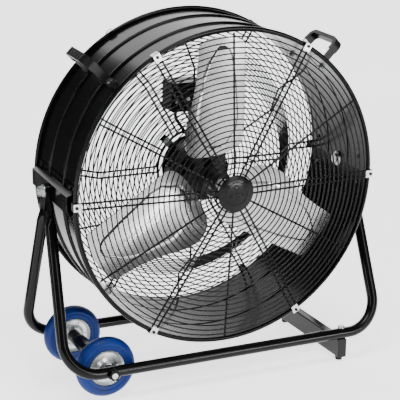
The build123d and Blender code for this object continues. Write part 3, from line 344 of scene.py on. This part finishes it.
# %% Metal pieces
finish_for("blade_aluminium", (0.5, 0.5, 0.505), (0.42, 0.42, 0.425), 0.22, 0.08, metal=1.0, skin=900, bump=0.002,
           blotch=14, dust=0.02, scratch=0.2, scratch_colour=(0.3, 0.3, 0.31))
finish_for("zinc_steel", (0.62, 0.63, 0.62), (0.4, 0.42, 0.43), 0.24, 0.16, metal=1.0, skin=1200, bump=0.01,
           blotch=60, dust=0.05, scratch=0.2, scratch_colour=(0.3, 0.3, 0.3))
finish_for("plain_steel", (0.5, 0.5, 0.5), (0.4, 0.4, 0.41), 0.32, 0.12, metal=1.0, skin=1500, bump=0.01, blotch=40)
finish_for("can_aluminium", (0.75, 0.75, 0.76), (0.68, 0.68, 0.7), 0.34, 0.1, metal=1.0, skin=900, bump=0.01)

# %% [markdown]
# ## Rubber and plastic
# The tyres are a soft blue rubber, slightly chalky where they have rolled. Grips, switch box and caps are
# moulded plastic with a fine spark-eroded grain.

# %% Rubber and plastic pieces
finish_for("blue_rubber", (0.0008, 0.012, 0.1), (0.0015, 0.02, 0.14), 0.42, 0.14, skin=700, bump=0.05, blotch=25,
           dust=0.03, scratch=0.05, dust_colour=(0.1, 0.15, 0.3), scratch_colour=(0.02, 0.06, 0.2), shine=0.2)
finish_for("black_rubber", (0.004, 0.004, 0.004), (0.007, 0.007, 0.007), 0.6, 0.15, skin=900, bump=0.06,
           dust=0.02, scratch=0.02, shine=0.2)
finish_for("black_plastic", (0.003, 0.003, 0.003), (0.006, 0.006, 0.006), 0.34, 0.1, skin=1400, bump=0.05,
           dust=0.01, scratch=0.02, shine=0.2)
finish_for("badge_plastic", (0.002, 0.002, 0.002), (0.004, 0.004, 0.004), 0.16, 0.06, skin=300, bump=0.01,
           dust=0.004, scratch=0.01, shine=0.12)
finish_for("grey_plastic", (0.42, 0.43, 0.44), (0.36, 0.37, 0.38), 0.45, 0.12, skin=1200, bump=0.05)
finish_for("nylon", (0.78, 0.78, 0.74), (0.7, 0.7, 0.66), 0.4, 0.1, skin=900, bump=0.03)

# %% Every solid gets its finish
for part in frame["record"]["subparts"]:
    for holder in frame["nodes"][part["node"]].material_slots:
        holder.material = finishes[part["material_slot"]]
print(len(finishes), "finishes on", len(frame["nodes"]), "solids")

# %% [markdown]
# ## Working on a piece
# Each detail is modelled near the origin in the drum's or the wheel's own directions, where its numbers are
# simple, and then carried to its place with one matrix. These helpers do the selecting and the finishing that
# every piece needs.


# %% Helpers for modelling
def only(piece):
    nothing_selected()
    piece.select_set(True)
    bpy.context.view_layer.objects.active = piece


def to_mesh_place(piece, place):
    """Carries a piece to its place and leaves its object at the origin."""
    only(piece)
    piece.matrix_world = place @ piece.matrix_world
    bpy.ops.object.transform_apply(location=True, rotation=True, scale=True)


def finished(piece, name, body, slot, smooth=32):
    only(piece)
    bpy.ops.object.mode_set(mode="EDIT")
    bpy.ops.mesh.select_all(action="SELECT")
    bpy.ops.mesh.remove_doubles(threshold=0.00001)
    bpy.ops.mesh.normals_make_consistent(inside=False)
    bpy.ops.object.mode_set(mode="OBJECT")
    bpy.ops.object.shade_smooth_by_angle(angle=radians(smooth))
    piece.name = name
    piece.data.materials.clear()
    piece.data.materials.append(finishes[slot])
    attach(piece, body)
    print(name, len(piece.data.polygons), "faces")


def copy_of(piece, place):
    twin = piece.copy()
    twin.data = piece.data.copy()
    bpy.context.scene.collection.objects.link(twin)
    twin.matrix_world = place @ twin.matrix_world
    return twin


def joined(pieces):
    only(pieces[0])
    for each in pieces:
        each.select_set(True)
    bpy.ops.object.join()
    return bpy.context.object


def drum_heights(node):
    """Where a solid's points lie along the drum's axis, counted towards the outlet."""
    return [(vertex.co - drum_middle).dot(outlet) for vertex in frame["nodes"][node].data.vertices]


def between(value, stops):
    """Reads a value off a bent line given by its (value, result) stops."""
    for (low, first), (high, second) in zip(stops, stops[1:]):
        if value <= high:
            share = (value - low) / (high - low)
            return first + (second - first) * max(0, share)
    return stops[-1][1]


# %% [markdown]
# ## Pressed panels on the blades
# A flat blade would flutter, so each one has a broad leaf-shaped panel pressed into its sheet. On the real
# fan a die does this in one stroke. Here the panel is a grid whose columns are fitted to the leaf's two edges
# and whose rows follow the blade's hollow and twist. It rises over a narrow shoulder and gets a thickness, so
# that it sits in the sheet like a pressing.

# %% Leaf-shaped panels
BLADE_CENTRES = (89, 209, 329)
LEAF_LEFT = ((64, -6), (70, -22), (78, -32), (95, -41), (112, -50), (137, -54), (150, -53), (180, -48), (218, -40),
             (245, -29), (263, -15), (272, -8), (278, 0))
LEAF_RIGHT = ((64, 22), (68, 30), (79, 37), (91, 44), (98, 51), (129, 54), (158, 50), (213, 42), (240, 36),
              (262, 31), (272, 24), (278, 12))
LEAF_ROOT, LEAF_TIP = 64, 278
PANEL_RISE = 3.2
SHOULDER = 5.0
SHEET = 1.8


def blade_face(x, radius):
    """Height of a blade's outlet side: a hollow sheet whose pitch eases towards the tip."""
    share = (radius - 50) / 250
    middle = 48 + 28 * share - 17.5 * share**2
    return middle + (-0.29 + 0.07 * share) * x + 0.0024 * (x + 72) * (x - 64) + SHEET


def blade_place(angle):
    return drum_place @ Matrix.Rotation(radians(angle - 90), 4, "Z")


def smooth_step(share):
    share = min(1, max(0, share))
    return share * share * (3 - 2 * share)


def leaf_panel():
    nothing_selected()
    bpy.ops.mesh.primitive_grid_add(x_subdivisions=40, y_subdivisions=90, size=1)
    panel = bpy.context.object
    for vertex in panel.data.vertices:
        across, along = vertex.co.x + 0.5, vertex.co.y + 0.5
        radius = LEAF_ROOT + (LEAF_TIP - LEAF_ROOT) * along
        left, right_edge = between(radius, LEAF_LEFT), between(radius, LEAF_RIGHT)
        x = left + (right_edge - left) * across
        inside = min(x - left, right_edge - x, (radius - LEAF_ROOT) * 0.8, (LEAF_TIP - radius) * 0.8)
        rise = PANEL_RISE * smooth_step(inside / SHOULDER)
        vertex.co = Vector((x, radius, blade_face(x, radius) + 0.1 + rise)) * MM
    thick = panel.modifiers.new("thick", "SOLIDIFY")
    thick.thickness = 0.7 * MM
    thick.offset = -1
    bpy.ops.object.modifier_apply(modifier="thick")
    return panel


for number, angle in enumerate(BLADE_CENTRES, start=1):
    panel = leaf_panel()
    to_mesh_place(panel, blade_place(angle))
    finished(panel, f"blade_panel_{number}", "rotor", "blade_aluminium", smooth=40)

# %% [markdown]
# ## Hems along the leading edges
# The edge that meets the air is folded over, which stiffens it and takes the sharpness away. A thin round bar
# stands for the fold: it is a cylinder cut across many times, and each ring of it is moved onto the blade's edge.

# %% Folded hems
HEM_R = 1.3
HEM_START, HEM_END = 92, 272
HEM_CUTS = 30
HEM_SINK = 0.2  # how deep the fold's middle lies in the sheet's face


def edge_x(radius):
    """The leading edge runs nearly straight from root to tip."""
    return 69 + (58 - 69) * (radius - 88) / (284 - 88)


def hem():
    nothing_selected()
    bpy.ops.mesh.primitive_cylinder_add(vertices=12, radius=HEM_R, depth=1, rotation=(radians(90), 0, 0))
    bar = bpy.context.object
    bpy.ops.object.transform_apply(location=False, rotation=True, scale=False)
    bpy.ops.object.mode_set(mode="EDIT")
    for cut in range(1, HEM_CUTS):
        bpy.ops.mesh.select_all(action="SELECT")
        bpy.ops.mesh.bisect(plane_co=(0, cut / HEM_CUTS - 0.5, 0), plane_no=(0, 1, 0))
    bpy.ops.object.mode_set(mode="OBJECT")
    for vertex in bar.data.vertices:
        radius = HEM_START + (HEM_END - HEM_START) * (vertex.co.y + 0.5)
        x = edge_x(radius) - HEM_R * 0.6
        vertex.co = Vector((x + vertex.co.x, radius, blade_face(x, radius) + vertex.co.z - HEM_SINK)) * MM
    return bar


for number, angle in enumerate(BLADE_CENTRES, start=1):
    bar = hem()
    to_mesh_place(bar, blade_place(angle))
    finished(bar, f"blade_hem_{number}", "rotor", "blade_aluminium", smooth=60)

# %% [markdown]
# ## Emblem on the badge
# The domed cap in the middle of the front guard carries a small raised fan: a ring with three petals. The
# petals are flattened balls and the ring is a torus, all laid on the dome by its own curve.

# %% Fan emblem
DOME_R = 123.3
badge_top = max(drum_heights("guard_badge")) / MM


def on_dome(vertex):
    """Drops a point by the dome's curve at its distance from the middle."""
    away = (vertex.co.x**2 + vertex.co.y**2) ** 0.5 / MM
    vertex.co.z += (badge_top - DOME_R + (DOME_R**2 - away**2) ** 0.5) * MM


nothing_selected()
bpy.ops.mesh.primitive_torus_add(major_segments=96, minor_segments=12, major_radius=24 * MM, minor_radius=0.8 * MM)
emblem_parts = [bpy.context.object]
for turn_angle in (90, 210, 330):
    bpy.ops.mesh.primitive_uv_sphere_add(segments=32, ring_count=16, radius=1)
    petal = bpy.context.object
    petal.scale = (8.5 * MM, 4.6 * MM, 1.0 * MM)
    petal.location = Matrix.Rotation(radians(turn_angle), 4, "Z") @ Vector((11.5 * MM, 0, 0))
    petal.rotation_euler = (0, 0, radians(turn_angle + 28))
    emblem_parts.append(petal)
bpy.ops.mesh.primitive_uv_sphere_add(segments=24, ring_count=12, radius=1)
eye = bpy.context.object
eye.scale = (3.2 * MM, 3.2 * MM, 1.3 * MM)
emblem_parts.append(eye)
for each in emblem_parts:
    only(each)
    bpy.ops.object.transform_apply(location=True, rotation=True, scale=True)
emblem = joined(emblem_parts)
for vertex in emblem.data.vertices:
    on_dome(vertex)
to_mesh_place(emblem, drum_place)
finished(emblem, "badge_emblem", "drum", "badge_plastic", smooth=60)

# %% [markdown]
# ## Wheel details
# Each wheel's two pressed discs are held by a ring of small rivets, and the tyre's sides carry a moulded line.
# One rivet is modelled as a flattened ball, and copies are turned round the axle on both faces.

# %% Rivets and moulded lines on the wheels
RIVETS_PER_FACE = 6
RIVET_CIRCLE = 27.5 * MM
RIVET_FACE = 6.9 * MM
LINE_CIRCLE = 47.0 * MM
LINE_FACE = 14.9 * MM

for joint_name, body in (("front_wheel_roll", "front_wheel"), ("rear_wheel_roll", "rear_wheel")):
    axle_place = Vector(next(joint for joint in frame["joints"] if joint["name"] == joint_name)["pos_m"])
    wheel_place = Matrix.Translation(axle_place) @ Matrix.Rotation(radians(90), 4, "X")
    nothing_selected()
    bpy.ops.mesh.primitive_uv_sphere_add(segments=20, ring_count=10, radius=1)
    rivet = bpy.context.object
    rivet.scale = (2.2 * MM, 2.2 * MM, 1.2 * MM)
    rivet.location = (RIVET_CIRCLE, 0, RIVET_FACE)
    only(rivet)
    bpy.ops.object.transform_apply(location=True, rotation=True, scale=True)
    ring_of_rivets = [rivet]
    for flip in (0, 180):
        for step in range(RIVETS_PER_FACE):
            if flip or step:
                around = Matrix.Rotation(radians(360 / RIVETS_PER_FACE * step), 4, "Z")
                face = Matrix.Rotation(radians(flip), 4, "X")
                ring_of_rivets.append(copy_of(rivet, around @ face))
    rivets = joined(ring_of_rivets)
    to_mesh_place(rivets, wheel_place)
    finished(rivets, f"{body}_rivets", body, "zinc_steel", smooth=60)

    nothing_selected()
    sides = []
    for side in (-1, 1):
        bpy.ops.mesh.primitive_torus_add(major_segments=96, minor_segments=10, major_radius=LINE_CIRCLE,
                                         minor_radius=0.9 * MM, location=(0, 0, side * LINE_FACE))
        sides.append(bpy.context.object)
    moulded = joined(sides)
    bpy.ops.object.transform_apply(location=True, rotation=True, scale=True)
    to_mesh_place(moulded, wheel_place)
    finished(moulded, f"{body}_tyre_lines", body, "blue_rubber", smooth=60)

# %% [markdown]
# ## Grips
# Moulded grips have shallow finger bars so that a wet hand doesn't slip. Each bar is a rounded block laid
# across the grip's outer face, repeated along it by an array.

# %% Finger bars
GRIP_TOP = 390.5
BAR_STEP = 13
BAR_COUNT = 6

for side_name, angle in (("right", 44), ("left", 136)):
    nothing_selected()
    bpy.ops.mesh.primitive_cube_add(size=1, location=(0, 0, 0))
    bar = bpy.context.object
    bar.scale = (1.4 * MM, 14.0 * MM, 5.0 * MM)
    bar.location = ((GRIP_TOP - 0.1) * MM, 0, -BAR_STEP * (BAR_COUNT - 1) / 2 * MM)
    bpy.ops.object.transform_apply(location=True, rotation=True, scale=True)
    row = bar.modifiers.new("row", "ARRAY")
    row.use_relative_offset = False
    row.use_constant_offset = True
    row.constant_offset_displace = (0, 0, BAR_STEP * MM)
    row.count = BAR_COUNT
    rounded = bar.modifiers.new("rounded", "BEVEL")
    rounded.width = 0.6 * MM
    rounded.segments = 4
    bpy.ops.object.modifier_apply(modifier="row")
    bpy.ops.object.modifier_apply(modifier="rounded")
    to_mesh_place(bar, drum_place @ Matrix.Rotation(radians(angle), 4, "Z"))
    finished(bar, f"{side_name}_grip_bars", "drum", "black_plastic", smooth=50)

# %% [markdown]
# ## Switch plate and pointer
# The knob needs a pointer and the lid needs marks to point at. The marks are four raised dots that grow with
# the speed, so that no lettering is needed.

# %% Knob pointer and dial dots
KNOB_MIDDLE = Vector((-2.0, 148.0, 0)) * MM
DIAL_R = 19 * MM
DIAL_STEP = 40
lid_back = min(drum_heights("switch_box_lid"))
knob_back = min(drum_heights("switch_knob"))

nothing_selected()
bpy.ops.mesh.primitive_cube_add(size=1)
pointer = bpy.context.object
pointer.scale = (1.6 * MM, 9 * MM, 0.8 * MM)
pointer.location = KNOB_MIDDLE + Vector((0, 5.5 * MM, knob_back))
only(pointer)
bpy.ops.object.transform_apply(location=True, rotation=True, scale=True)
rounded = pointer.modifiers.new("rounded", "BEVEL")
rounded.width = 0.3 * MM
rounded.segments = 3
bpy.ops.object.modifier_apply(modifier="rounded")
to_mesh_place(pointer, drum_place)
finished(pointer, "knob_pointer", "switch_knob", "nylon")

dots = []
for step, size in enumerate((1.0, 1.3, 1.6, 1.9)):
    around = radians(90 - DIAL_STEP * step)
    bpy.ops.mesh.primitive_uv_sphere_add(segments=20, ring_count=10, radius=1)
    dot = bpy.context.object
    dot.scale = (size * MM, size * MM, 0.5 * MM)
    dot.location = KNOB_MIDDLE + Vector((cos(around) * DIAL_R, sin(around) * DIAL_R, lid_back))
    only(dot)
    bpy.ops.object.transform_apply(location=True, rotation=True, scale=True)
    dots.append(dot)
marks = joined(dots)
to_mesh_place(marks, drum_place)
finished(marks, "dial_dots", "drum", "nylon", smooth=60)

# %% [markdown]
# ## Barrel seam and plate
# The barrel is one sheet rolled round and joined along a lap. The lap runs from rim to rim at the bottom, held
# by a row of spot welds. A blank plate, held by four small rivets, sits low on the foot bar's side.

# %% Lap seam with spot welds
WALL_R = 322.0
WELD_COUNT = 7
WELD_STEP = 9 * MM
nothing_selected()
bpy.ops.mesh.primitive_cube_add(size=1)
lap = bpy.context.object
lap.scale = (1.0 * MM, 16 * MM, 68 * MM)
lap.location = ((WALL_R - 0.1) * MM, 0, 0)
only(lap)
bpy.ops.object.transform_apply(location=True, rotation=True, scale=True)
rounded = lap.modifiers.new("rounded", "BEVEL")
rounded.width = 0.35 * MM
rounded.segments = 3
bpy.ops.object.modifier_apply(modifier="rounded")
seam_parts = [lap]
for step in range(WELD_COUNT):
    bpy.ops.mesh.primitive_torus_add(major_segments=28, minor_segments=8, major_radius=2.4 * MM,
                                     minor_radius=0.45 * MM, rotation=(0, radians(90), 0),
                                     location=((WALL_R + 0.35) * MM, 0, (step - (WELD_COUNT - 1) / 2) * WELD_STEP))
    weld = bpy.context.object
    only(weld)
    bpy.ops.object.transform_apply(location=True, rotation=True, scale=True)
    seam_parts.append(weld)
seam = joined(seam_parts)
to_mesh_place(seam, drum_place @ Matrix.Rotation(radians(270), 4, "Z"))
finished(seam, "barrel_seam", "drum", "black_paint", smooth=40)

# %% Blank plate
PLATE_LONG, PLATE_TALL = 84, 52
PIN_SPOTS = [(z, around) for z in (-22, 22) for around in (-37, 37)]
nothing_selected()
bpy.ops.mesh.primitive_grid_add(x_subdivisions=2, y_subdivisions=24, size=1)
plate = bpy.context.object
for vertex in plate.data.vertices:
    around = vertex.co.y * PLATE_LONG / WALL_R
    away = (WALL_R + 0.9) * MM
    vertex.co = Vector((away * cos(around), away * sin(around), vertex.co.x * PLATE_TALL * MM))
thick = plate.modifiers.new("thick", "SOLIDIFY")
thick.thickness = 0.8 * MM
thick.offset = 0
bpy.ops.object.modifier_apply(modifier="thick")
plate_parts = [plate]
for z, around in PIN_SPOTS:
    bpy.ops.mesh.primitive_uv_sphere_add(segments=16, ring_count=8, radius=1)
    pin = bpy.context.object
    pin.scale = (1.0 * MM, 2.0 * MM, 2.0 * MM)
    pin.location = ((WALL_R + 1.2) * MM, 0, z * MM)
    only(pin)
    bpy.ops.object.transform_apply(location=True, rotation=True, scale=True)
    to_mesh_place(pin, Matrix.Rotation(around / WALL_R, 4, "Z"))
    plate_parts.append(pin)
blank_plate = joined(plate_parts)
to_mesh_place(blank_plate, drum_place @ Matrix.Rotation(radians(-32), 4, "Z"))
finished(blank_plate, "rating_plate", "drum", "can_aluminium", smooth=40)

# %% [markdown]
# ## Motor ribs
# The motor's die-cast housing has low cooling ribs along its length, left out beside its lead.

# %% Cooling ribs
MOTOR_R = 62.0
RIB_LOW, RIB_HIGH = -56.0, -24.0
RIB_PLACES = 24
LEAD_SIDE = (80, 150)
ribs = []
for step in range(RIB_PLACES):
    around = 360 / RIB_PLACES * (step + 0.5)
    if LEAD_SIDE[0] < around < LEAD_SIDE[1]:
        continue
    nothing_selected()
    bpy.ops.mesh.primitive_cube_add(size=1)
    rib = bpy.context.object
    rib.scale = (3.0 * MM, 2.2 * MM, (RIB_HIGH - RIB_LOW) * MM)
    rib.location = ((MOTOR_R + 1.2) * MM, 0, (RIB_LOW + RIB_HIGH) / 2 * MM)
    bpy.ops.object.transform_apply(location=True, rotation=True, scale=True)
    rounded = rib.modifiers.new("rounded", "BEVEL")
    rounded.width = 0.7 * MM
    rounded.segments = 3
    bpy.ops.object.modifier_apply(modifier="rounded")
    to_mesh_place(rib, Matrix.Rotation(radians(around), 4, "Z"))
    ribs.append(rib)
motor_ribs = joined(ribs)
to_mesh_place(motor_ribs, drum_place)
finished(motor_ribs, "motor_ribs", "drum", "motor_paint", smooth=40)
